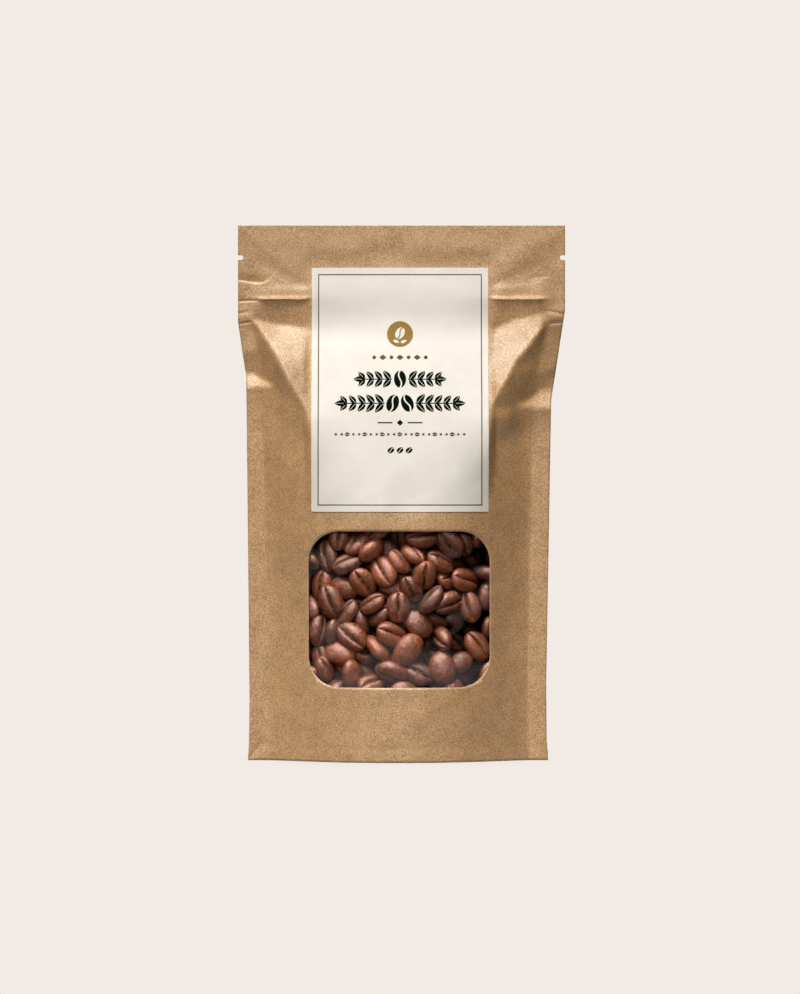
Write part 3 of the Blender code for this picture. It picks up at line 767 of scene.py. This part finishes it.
def bean_template(rng):
    """One coffee bean in mm, lying on its flat side: a ball drawn out to the bean's section, crease below.

    The vertex layer crease is 1 in the crease and 0 on the rest of the skin.
    """
    bm = bmesh.new()
    steps = len(BEAN_SECTION) - 1
    bmesh.ops.create_uvsphere(bm, u_segments=2 * steps, v_segments=14, radius=1.0)
    # the third layer holds painted shade: how far the vertex lies behind the film
    for layer in ("crease", "roast", "painted_gap_shade"):
        bm.verts.layers.float.new(layer)
    crease = bm.verts.layers.float["crease"]
    sway = rng.uniform(-0.5, 0.5)
    bow = rng.uniform(-0.25, 0.25)
    gape = rng.uniform(0.8, 1.5)
    plump = rng.uniform(0.92, 1.10)
    for vert in bm.verts:
        along, turn = vert.co.z, math.atan2(vert.co.x, -vert.co.y)
        place = abs(turn) / math.pi * steps
        lower = min(int(place + 0.01), steps - 1)
        part = place - lower
        across, up = (a + (b - a) * part for a, b in zip(BEAN_SECTION[lower], BEAN_SECTION[lower + 1]))
        taper = math.sqrt(max(0.0, 1 - abs(along) ** 2.3))
        in_crease = max(0.0, 1 - place / 2.6)
        across *= 1 + (gape - 1) * (place < 2.5)
        centre = (bow + sway * math.sin(along * math.pi)) * (0.4 + 0.6 * in_crease)
        x = along * BEAN_HALF_LENGTH
        y = across * taper * math.copysign(1.0, turn) + centre * taper
        z = up * plump * (0.25 + 0.75 * taper) * taper ** 0.35
        vert.co = (x, y, z)
        vert[crease] = min(1.0, max(0.0, 1.9 - place)) * min(1.0, taper * 1.6)
    bmesh.ops.recalc_face_normals(bm, faces=bm.faces)
    if bm.calc_volume(signed=True) < 0:
        bmesh.ops.reverse_faces(bm, faces=bm.faces)
    mesh = bpy.data.meshes.new("bean_template")
    bm.to_mesh(mesh)
    bm.free()
    return mesh


def add_body(name, mesh, location, kind, shape):
    """A rigid body with its shape and place in the settling tray."""
    body = bpy.data.objects.new(name, mesh)
    bpy.context.scene.collection.objects.link(body)
    body.location = location
    bpy.context.view_layer.objects.active = body
    bpy.ops.rigidbody.object_add(type=kind)
    body.rigid_body.collision_shape = shape
    body.rigid_body.friction = 0.4
    body.rigid_body.restitution = 0.0
    body.rigid_body.use_margin = True
    body.rigid_body.collision_margin = 0.0
    return body


def box_mesh(name, size):
    """A box of that size about the origin."""
    bm = bmesh.new()
    bmesh.ops.create_cube(bm, size=1.0, matrix=Matrix.Diagonal((*size, 1.0)))
    mesh = bpy.data.meshes.new(name)
    bm.to_mesh(mesh)
    bm.free()
    return mesh


def settle_beans(rng):
    """Drop beans in a flat tray as wide as the window with its margins, press a board on them and
    let them rest. Returns each bean's matrix: the board's underside is z = 0, the unit is a metre.
    """
    unit = TRAY_SCALE / MM
    width, height = (side + 2 * TRAY_MARGIN for side in WINDOW_SIZE)
    width, height = width * unit, height * unit
    bpy.ops.rigidbody.world_add()
    world = bpy.context.scene.rigidbody_world
    world.substeps_per_frame = 10
    world.solver_iterations = 20
    wall = 1.0
    bodies = []
    for name, size, centre in (
            ("tray_floor", (width + 2, height + 2, wall), (0, 0, -wall / 2)),
            ("tray_left", (wall, height + 2, 40), (-(width + wall) / 2, 0, 20)),
            ("tray_right", (wall, height + 2, 40), ((width + wall) / 2, 0, 20)),
            ("tray_near", (width + 2, wall, 40), (0, -(height + wall) / 2, 20)),
            ("tray_far", (width + 2, wall, 40), (0, (height + wall) / 2, 20))):
        bodies.append(add_body(name, box_mesh(name, size), centre, "PASSIVE", "BOX"))

    bm = bmesh.new()
    bmesh.ops.create_icosphere(bm, subdivisions=2, radius=1.0)
    for vert in bm.verts:
        up = 3.3 if vert.co.z > 0 else 2.5
        vert.co = (vert.co.x * BEAN_HALF_LENGTH, vert.co.y * 4.3, vert.co.z * up)
        vert.co *= TRAY_SCALE
    hull = bpy.data.meshes.new("bean_hull")
    bm.to_mesh(hull)
    bm.free()
    columns, rows = int(width / 1.45), int(height / 1.45)
    beans = []
    for index in range(BEAN_COUNT):
        layer, slot = divmod(index, columns * rows)
        column, row = divmod(slot, rows)
        place = ((column + 0.5) * width / columns - width / 2, (row + 0.5) * height / rows - height / 2,
                 1.0 + layer * 1.35)
        bean = add_body(f"settling_bean_{index}", hull, place, "ACTIVE", "CONVEX_HULL")
        bean.rotation_euler = [rng.uniform(-math.pi, math.pi) for _ in range(3)]
        bean.scale = [rng.uniform(0.92, 1.18)] * 3
        bean.rigid_body.angular_damping = 0.3
        beans.append(bean)
    board_start = 1.0 + (BEAN_COUNT // (columns * rows) + 1) * 1.35 + 2.0
    board = add_body("board", box_mesh("board", (width - 0.05, height - 0.05, 0.5)), (0, 0, board_start),
                     "ACTIVE", "BOX")
    board.rigid_body.mass = 12.0
    board.rigid_body.friction = 0.1
    for step in range(1, 111):
        bpy.context.scene.frame_set(step)
    graph = bpy.context.evaluated_depsgraph_get()
    rest = [bean.evaluated_get(graph).matrix_world.copy() for bean in beans]
    level = board.evaluated_get(graph).matrix_world.translation.z - 0.25
    bpy.ops.rigidbody.world_remove()
    for body in bodies + beans + [board]:
        bpy.data.objects.remove(body, do_unlink=True)
    bpy.context.scene.frame_set(1)
    down = Matrix.Translation((0, 0, -level))
    shrink = Matrix.Scale(1 / unit, 4)
    return [shrink @ down @ matrix @ Matrix.Scale(unit, 4) for matrix in rest]


def film_path():
    """X and Y along the film's level section, by distance from the window's middle."""
    x = np.linspace(-0.06, 0.06, 481) + WINDOW_CENTRE[0]
    z = np.full_like(x, WINDOW_CENTRE[1])
    y = front_y(np.clip(x, -0.05, 0.049), z)
    run = np.concatenate([[0], np.cumsum(np.hypot(np.diff(x), np.diff(y)))])
    return run - run[len(run) // 2], x, y


def make_beans(skin):
    """Loose beans, settled in a heap and bent round to the shape of the pouch's front."""
    rng = random.Random(11)
    run, path_x, path_y = film_path()
    templates = [bean_template(rng) for _ in range(6)]
    bm = bmesh.new()
    for number, matrix in enumerate(settle_beans(rng)):
        place = matrix.translation
        if -place.z > KEPT_DEPTH:
            continue
        x = np.interp(place.x, run, path_x)
        y = np.interp(place.x, run, path_y)
        step = 0.002
        turn = math.atan2(np.interp(place.x + step, run, path_y) - np.interp(place.x - step, run, path_y),
                          np.interp(place.x + step, run, path_x) - np.interp(place.x - step, run, path_x))
        high = WINDOW_CENTRE[1] + place.y
        y += float(front_y(x, high) - front_y(x, WINDOW_CENTRE[1]))
        spot = Vector((x + math.sin(turn) * place.z, y - math.cos(turn) * place.z, high))
        bend = Matrix.Translation(spot) @ Matrix.Rotation(turn, 4, "Z") @ Matrix.Rotation(math.pi / 2, 4, "X")
        lie = matrix.to_3x3().to_4x4()
        if lie.col[2].z > 0.2 and rng.random() < CREASE_UP_SHARE:
            lie = lie @ Matrix.Rotation(math.pi, 4, "X")
        whole = bend @ lie @ Matrix.Scale(MM, 4)
        points = np.array([whole @ vert.co for vert in templates[number % len(templates)].vertices])
        film_y = front_y(points[:, 0], points[:, 2]) + PAPER + FILM_THICKNESS + BEAN_CLEARANCE
        push = max(0.0, float((film_y - points[:, 1]).max()))
        whole = Matrix.Translation((0, push, 0)) @ whole
        if (points[:, 1] + push > back_y(points[:, 0], points[:, 2]) - PAPER - BEAN_CLEARANCE).any():
            continue
        tone = rng.random()
        first = len(bm.verts)
        bm.from_mesh(templates[number % len(templates)])
        bm.verts.ensure_lookup_table()
        bean = bm.verts[first:]
        bmesh.ops.transform(bm, matrix=whole, verts=bean)
        roast, painted_gap_shade = bm.verts.layers.float["roast"], bm.verts.layers.float["painted_gap_shade"]
        # painted shade: each vertex's share of darkening, by how far it lies behind the film
        behind = np.interp(points[:, 1] + push - film_y, GAP_SHADE_DEPTH, (0.0, 1.0))
        for vert, share in zip(bean, behind):
            vert[roast] = tone
            vert[painted_gap_shade] = share
    return add_piece(bm, "loose_beans", "roasted_beans", "coffee_beans", skin)


def make_core(dark):
    """The mass of beans behind the loose ones, near black: painted shade for the gaps."""
    margin = TRAY_MARGIN
    size = (WINDOW_SIZE[0] + 2 * margin, WINDOW_SIZE[1] + 2 * margin)
    u = divided([-size[0] / 2, size[0] / 2], 0.0025)
    v = divided([-size[1] / 2, size[1] / 2], 0.0025)
    x, z = np.meshgrid(u + WINDOW_CENTRE[0], v + WINDOW_CENTRE[1], indexing="ij")
    lumps = soft_waves(x, z, 5, 0.009, 0.0012)
    bm = bmesh.new()
    front, back = front_y(x, z), back_y(x, z)
    add_grid(bm, x, np.minimum(front + CORE_DEPTH + lumps, front + (back - front) * 0.6), z)
    core = add_piece(bm, "bean_core_shade", "roasted_beans", "coffee_beans", dark)
    thicken(core, CORE_THICKNESS)
    return core


# ---------------------------------------------------------------- label

# Places of the printed rows above the label's centre, and sizes of what is printed, in mm
NAME_ROW = 12.7
SPRIG_ROWS = (4.0, -5.6)
RULE_ROW = -13.3
TAG_ROW = -17.9
FOOT_ROW = -24.2
BADGE_PLACE = (0.0, 22.0)
BADGE_SIZE = 10.3
BADGE_PROUD = 0.00004      # in metres, how far the pale bean stands in front of the badge
FRAME_INSET = 2.7
FRAME_LINE = 0.42
SPRIG_STEM = 0.42
LEAF_TURN = 48             # degrees between a leaf and its stem
LEAF_VEIN = 0.16
INK_THICKNESS = 0.00003


def make_label(stock):
    """The cream label."""
    half = [side / 2 for side in LABEL_SIZE]
    u, v = (divided([-end, LABEL_MARGIN_CELL - end, end - LABEL_MARGIN_CELL, end], 0.0012) for end in half)
    x, z = np.meshgrid(u + LABEL_CENTRE[0], v + LABEL_CENTRE[1], indexing="ij")
    bm = bmesh.new()
    add_grid(bm, x, label_y(x, z) - LABEL_THICKNESS, z)
    label = add_piece(bm, "paper_label", "label_paper", "label", stock)
    thicken(label, LABEL_THICKNESS)
    return label


def oval(share):
    """Half width of an oval along its length, from -1 to 1."""
    return np.sqrt(np.clip(1 - share ** 2, 0, None))


def leaf_side(share):
    """Half width of a leaf along its length, fuller near its stalk."""
    return np.clip(1 - share ** 2, 0, None) ** 0.85 * (1 - 0.35 * share)


def lozenge(share):
    """Half width of a lozenge along its length."""
    return 1 - np.abs(share)


def bar(share):
    """Half width of a straight line along its length."""
    return np.ones_like(share)


def add_mark(bm, place, size, turn, low, high, cells=(12, 2), bend=0.0, proud=0.0):
    """Add a printed mark to the label's face.

    place is measured from the label's centre and size is length and width, both in mm; turn is in degrees.
    low and high give the mark's two sides along its length; bend is the rise of its middle in mm.
    """
    share = -np.cos(np.linspace(0, math.pi, cells[0] + 1))[:, None]
    across = np.linspace(0, 1, cells[1] + 1)[None, :]
    wide = (low(share) + (high(share) - low(share)) * across) * size[1] / 2 + bend * (1 - share ** 2)
    long = np.broadcast_to(share * size[0] / 2, wide.shape)
    cos, sin = math.cos(math.radians(turn)), math.sin(math.radians(turn))
    x = LABEL_CENTRE[0] + (place[0] + long * cos - wide * sin) * MM
    z = LABEL_CENTRE[1] + (place[1] + long * sin + wide * cos) * MM
    add_grid(bm, x, label_y(x, z) - LABEL_THICKNESS - PRINT_STAND_OFF - proud, z)


def add_plain(bm, place, size, turn, side, **more):
    """Add a mark whose two sides mirror each other."""
    add_mark(bm, place, size, turn, lambda share: -side(share), side, **more)


def add_leaf(bm, stalk, size, turn):
    """Add a leaf in two halves beside its vein, from its stalk outwards."""
    cos, sin = math.cos(math.radians(turn)), math.sin(math.radians(turn))
    middle = (stalk[0] + size[0] / 2 * cos, stalk[1] + size[0] / 2 * sin)
    vein = LEAF_VEIN / size[1]
    add_mark(bm, middle, size, turn, lambda share: vein * bar(share), lambda share: np.maximum(leaf_side(share), vein))
    add_mark(bm, middle, size, turn, lambda share: -np.maximum(leaf_side(share), vein), lambda share: -vein * bar(share))


def add_bean(bm, place, size, turn, gap=0.12, **more):
    """Add a drawn coffee bean: two halves beside a swaying crease."""
    def sway(share):
        return 0.24 * np.sin(share * math.pi) * bar(share)
    add_mark(bm, place, size, turn, lambda share: np.minimum(sway(share) + gap, oval(share)), oval, cells=(16, 3), **more)
    add_mark(bm, place, size, turn, lambda share: -oval(share), lambda share: np.maximum(sway(share) - gap, -oval(share)),
             cells=(16, 3), **more)


def add_sprig(bm, height, reach, start, pairs, leaf):
    """Add a sprig that grows out to both sides of the label's middle, with its leaves in pairs.

    height is above the label's centre; the leaves start at start from the middle and end at reach, in mm.
    """
    step = (reach - start - leaf[0]) / (pairs - 1)
    for side in (-1, 1):
        add_plain(bm, (side * (start + reach - leaf[0]) / 2, height), (reach - leaf[0] - start + 1.0, SPRIG_STEM), 0, bar)
        for pair in range(pairs):
            stalk = (side * (start + pair * step), height)
            size = (leaf[0] * (1 - 0.05 * pair), leaf[1] * (1 - 0.04 * pair))
            for up in (-1, 1):
                add_leaf(bm, stalk, size, 90 - side * (90 - up * LEAF_TURN))
        add_leaf(bm, (side * (reach - leaf[0]), height), leaf, 90 - side * 90)


def finish_print(bm, name, slot, ink):
    """Close a set of printed marks into a thin piece on the label."""
    bmesh.ops.remove_doubles(bm, verts=bm.verts, dist=1e-6)
    bmesh.ops.dissolve_degenerate(bm, edges=bm.edges, dist=1e-7)
    printed = add_piece(bm, name, slot, "label", ink, smooth=False)
    thicken(printed, INK_THICKNESS)
    return printed


def make_frame_line(ink):
    """The thin line that runs round inside the label's edge."""
    bm = bmesh.new()
    wide, high = (side / MM / 2 - FRAME_INSET for side in LABEL_SIZE)
    for side in (-1, 1):
        add_plain(bm, (0, side * high), (2 * wide + FRAME_LINE, FRAME_LINE), 0, bar, cells=(60, 1))
        add_plain(bm, (side * wide, 0), (2 * high - FRAME_LINE, FRAME_LINE), 90, bar, cells=(100, 1))
    return finish_print(bm, "label_frame_line", "gold_ink", ink)


def make_badge(gold, pale):
    """The gold disc with a pale bean on it."""
    bm = bmesh.new()
    add_plain(bm, BADGE_PLACE, (BADGE_SIZE, BADGE_SIZE), 0, oval, cells=(40, 16))
    finish_print(bm, "label_badge", "gold_ink", gold)
    bm = bmesh.new()
    add_bean(bm, (BADGE_PLACE[0], BADGE_PLACE[1] + 0.4), (5.0, 3.5), 62, gap=0.14, proud=BADGE_PROUD)
    for side in (-1, 1):
        add_plain(bm, (BADGE_PLACE[0] + side * 1.5, BADGE_PLACE[1] - 2.9), (2.6, 1.1), side * 22, leaf_side, proud=BADGE_PROUD)
    finish_print(bm, "label_badge_bean", "label_paper", pale)


def make_dark_print(ink):
    """The dark ornaments: two rows of sprigs with beans, the rules with their lozenge, and three small beans."""
    bm = bmesh.new()
    add_bean(bm, (0, SPRIG_ROWS[0]), (6.8, 4.8), 90)
    add_sprig(bm, SPRIG_ROWS[0], 18.5, 3.7, 4, (4.6, 2.3))
    for side in (-1, 1):
        add_bean(bm, (side * 2.9, SPRIG_ROWS[1]), (7.0, 4.8), 90 + side * 20)
    add_sprig(bm, SPRIG_ROWS[1], 26.0, 6.6, 5, (5.0, 2.4))
    add_plain(bm, (0, RULE_ROW), (2.5, 2.5), 0, lozenge, cells=(2, 1))
    for side in (-1, 1):
        add_plain(bm, (side * 5.9, RULE_ROW), (5.8, 0.5), 0, bar, cells=(6, 1))
    for place in (-1, 0, 1):
        add_bean(bm, (place * 3.6, FOOT_ROW), (2.9, 2.1), 35)
    return finish_print(bm, "label_dark_print", "dark_ink", ink)


def make_brown_print(ink):
    """The small brown ornaments: a short row of dots and lozenges, and a longer one under the rules."""
    bm = bmesh.new()
    for place in range(-3, 4):
        if place % 2:
            add_plain(bm, (place * 3.4, NAME_ROW), (1.5, 1.5), 0, oval)
        else:
            add_plain(bm, (place * 3.4, NAME_ROW), (2.9, 2.2), 0, lozenge, cells=(2, 1))
    for place in range(-11, 12):
        if place % 3:
            add_plain(bm, (place * 2.3, TAG_ROW), (1.0, 1.0), 0, oval)
        else:
            add_leaf(bm, (place * 2.3 - 1.1, TAG_ROW), (2.2, 1.6), 0)
    return finish_print(bm, "label_brown_print", "gold_ink", ink)


# ---------------------------------------------------------------- camera, floor and lights

def make_camera():
    """A long level camera in front of the pouch."""
    camera = bpy.data.objects.new("camera", bpy.data.cameras.new("camera"))
    bpy.context.scene.collection.objects.link(camera)
    distance = 2.0
    view_height = 0.3952
    camera.location = (-0.0006, -distance, 0.1046)
    camera.rotation_euler = (math.pi / 2, 0, 0)
    camera.data.lens = camera.data.sensor_width * distance / view_height
    bpy.context.scene.camera = camera


def pale_surface(name, colour):
    """A material of even paleness, with a faint painted shadow where something rests on it.

    Reflections see a painted glow on it, brighter near the pouch than far away, and it throws back little light.
    """
    material = bpy.data.materials.new(name)
    material.use_nodes = True
    tree = material.node_tree
    tree.nodes.remove(tree.nodes["Principled BSDF"])
    # painted shadow: ambient occlusion darkens the floor's glow where something rests on it
    near = new_node(tree, "ShaderNodeAmbientOcclusion", {"Distance": 0.03}, samples=8)
    shade = new_node(tree, "ShaderNodeMix", {"A": (*[c * 0.9 for c in colour], 1.0), "B": (*colour, 1.0)},
                     data_type="RGBA")
    glow = tree.nodes.new("ShaderNodeEmission")
    dim = new_node(tree, "ShaderNodeEmission", {"Color": (1.0, 0.85, 0.7, 1.0), "Strength": FLOOR_GLOW})
    # painted light: a glow seen only by the first reflection, brighter near the pouch and gone from 0.8 m on
    painted_glow_near_pouch = new_node(tree, "ShaderNodeEmission", {"Color": (*colour, 1.0)})
    away = new_node(tree, "ShaderNodeVectorMath", operation="LENGTH")
    tree.links.new(tree.nodes.new("ShaderNodeTexCoord").outputs["Object"], away.inputs[0])
    fading = new_node(tree, "ShaderNodeMapRange", {"From Min": 0.1, "From Max": 0.8, "To Min": 1.25, "To Max": 0.0})
    tree.links.new(away.outputs["Value"], fading.inputs["Value"])
    tree.links.new(fading.outputs["Result"], painted_glow_near_pouch.inputs["Strength"])
    path = tree.nodes.new("ShaderNodeLightPath")
    first = combine(tree, "LESS_THAN", path.outputs["Ray Depth"], 1.5)
    mirror = combine(tree, "MULTIPLY", path.outputs["Is Glossy Ray"], first)
    by_mirror = tree.nodes.new("ShaderNodeMixShader")
    mix = tree.nodes.new("ShaderNodeMixShader")
    tree.links.new(near.outputs["AO"], shade.inputs["Factor"])
    tree.links.new(shade.outputs["Result"], glow.inputs["Color"])
    tree.links.new(mirror, by_mirror.inputs["Fac"])
    tree.links.new(dim.outputs["Emission"], by_mirror.inputs[1])
    tree.links.new(painted_glow_near_pouch.outputs["Emission"], by_mirror.inputs[2])
    tree.links.new(path.outputs["Is Camera Ray"], mix.inputs["Fac"])
    tree.links.new(by_mirror.outputs["Shader"], mix.inputs[1])
    tree.links.new(glow.outputs["Emission"], mix.inputs[2])
    tree.links.new(mix.outputs["Shader"], tree.nodes["Material Output"].inputs["Surface"])
    return material


def srgb(red, green, blue):
    """Linear colour of an 8-bit one."""
    return tuple(((c / 255 + 0.055) / 1.055) ** 2.4 if c > 10 else c / 255 / 12.92 for c in (red, green, blue))


PALE = srgb(242, 235, 229)
FLOOR_GLOW = 0.08          # how much light the floor throws back
ROOM_GLOW = 0.045           # and the room


def make_stage():
    """A pale floor under a pale sky."""
    bm = bmesh.new()
    bmesh.ops.create_grid(bm, x_segments=1, y_segments=1, size=30.0)
    mesh = bpy.data.meshes.new("floor")
    bm.to_mesh(mesh)
    bm.free()
    mesh.materials.append(pale_surface("pale_floor", PALE))
    floor = bpy.data.objects.new("floor", mesh)
    bpy.context.scene.collection.objects.link(floor)
    floor.location.z = -0.00005

    world = bpy.data.worlds.new("pale_room")
    bpy.context.scene.world = world
    world.use_nodes = True
    tree = world.node_tree
    sky = tree.nodes["Background"]
    sky.inputs["Color"].default_value = (*PALE, 1.0)
    dim = new_node(tree, "ShaderNodeBackground", {"Color": (1.0, 0.86, 0.72, 1.0), "Strength": ROOM_GLOW})
    path = tree.nodes.new("ShaderNodeLightPath")
    mix = tree.nodes.new("ShaderNodeMixShader")
    tree.links.new(path.outputs["Is Camera Ray"], mix.inputs["Fac"])
    tree.links.new(dim.outputs["Background"], mix.inputs[1])
    tree.links.new(sky.outputs["Background"], mix.inputs[2])
    tree.links.new(mix.outputs["Shader"], tree.nodes["World Output"].inputs["Surface"])


def add_lamp(name, azimuth, elevation, distance, size, power, colour):
    """An area lamp at a direction seen from the pouch: azimuth from the front to the right, in degrees."""
    lamp = bpy.data.lights.new(name, "AREA")
    lamp.shape = "RECTANGLE"
    lamp.size, lamp.size_y = size
    lamp.energy = power
    lamp.color = colour
    holder = bpy.data.objects.new(name, lamp)
    bpy.context.scene.collection.objects.link(holder)
    around, up = math.radians(azimuth), math.radians(elevation)
    target = Vector((0, 0, HEIGHT / 2))
    away = Vector((math.sin(around) * math.cos(up), -math.cos(around) * math.cos(up), math.sin(up)))
    holder.location = target + away * distance
    holder.rotation_euler = (-away).to_track_quat("-Z", "Y").to_euler()
    return holder


def make_lights():
    """Soft studio light from above, mostly from the left, with a weak fill from the front."""
    add_lamp("key_lamp", -12, 62, 8.0, (3.2, 2.2), 600.0, (1.0, 0.985, 0.96))
    add_lamp("left_lamp", -60, 50, 8.0, (3.2, 2.2), 95.0, (1.0, 0.985, 0.96))
    add_lamp("back_lamp", 165, 40, 8.0, (3.2, 2.2), 330.0, (1.0, 0.985, 0.96))
    add_lamp("front_lamp", -8, 24, 8.0, (3.6, 2.2), 175.0, (1.0, 0.96, 0.91))


# ---------------------------------------------------------------- whole scene

def main():
    """Build the pouch and its surroundings."""
    bpy.context.scene.view_settings.view_transform = "Standard"
    make_camera()
    make_stage()
    make_lights()
    fibre = paper_fibre_group()
    kraft = paper_material("kraft_paper", fibre, (0.305, 0.166, 0.067), (0.775, 0.457, 0.203), 0.50, 0.50, 0.00006,
                           fine=2200.0, fine_share=0.87)
    cut_edge = paper_material("kraft_cut_edge", fibre, (0.60, 0.45, 0.31), (0.76, 0.61, 0.46), 0.9, 0.1, 0.00002)
    stock = paper_material("label_stock", fibre, (0.86, 0.815, 0.745), (0.91, 0.87, 0.80), 0.6, 0.15, 0.00001,
                           broad=90.0, fine_share=0.5)
    make_front(kraft, cut_edge)
    make_back(kraft, cut_edge)
    make_gusset(kraft, cut_edge)
    make_film(film_material())
    make_beans(bean_material())
    make_core(core_shade_material())
    make_label(stock)
    brown_ink = paper_material("brown_ink", fibre, (0.105, 0.080, 0.024), (0.14, 0.108, 0.034), 0.7, 0.03, 0.00001)
    gold_ink = paper_material("gold_ink", fibre, (0.31, 0.185, 0.040), (0.36, 0.22, 0.050), 0.6, 0.06, 0.00001)
    dark_ink = paper_material("dark_ink", fibre, (0.002, 0.006, 0.003), (0.005, 0.012, 0.006), 0.8, 0.01, 0.00001)
    make_frame_line(brown_ink)
    make_badge(gold_ink, stock)
    make_dark_print(dark_ink)
    make_brown_print(brown_ink)


main()
